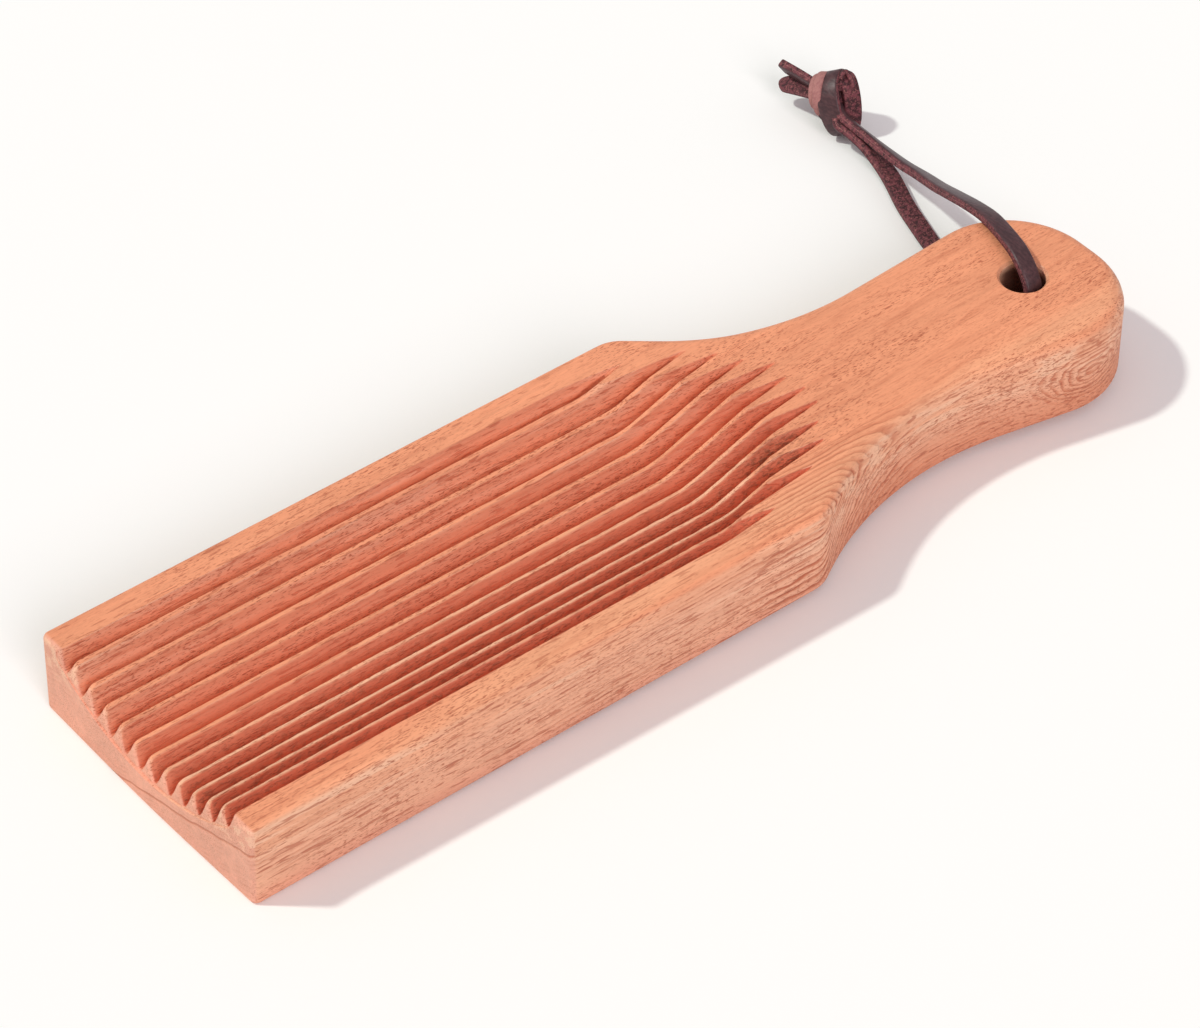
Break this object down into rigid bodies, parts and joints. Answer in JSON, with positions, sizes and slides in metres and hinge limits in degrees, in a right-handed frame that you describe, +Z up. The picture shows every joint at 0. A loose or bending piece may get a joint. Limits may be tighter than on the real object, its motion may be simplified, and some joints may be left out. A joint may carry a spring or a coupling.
{
  "type": "gnocchi board",
  "caption": "One-piece beech gnocchi board: a blade with a long hollow of V-shaped grooves that ramp out into a waisted grip, and a dark leather hanging lace knotted through the hole in the grip.",
  "frame": {"origin": "bottom centre of the board's box, on the surface that the board lies on; the lace is not counted", "axes": "+X along the board from the nose to the grip, +Y across the blade towards the side where the lace lies, +Z up"},
  "size_m": [0.2534, 0.1314, 0.0261],
  "materials": {
    "beech": "fine sanded, bare",
    "lace_leather": "smooth grain side, rough flesh side and cut edges"
  },
  "bodies": {
    "root": {"board": "beech", "lace_loop": "lace_leather", "lace_knot": "lace_leather", "lace_tail_upper": "lace_leather", "lace_tail_lower": "lace_leather"}
  },
  "joints": []
}
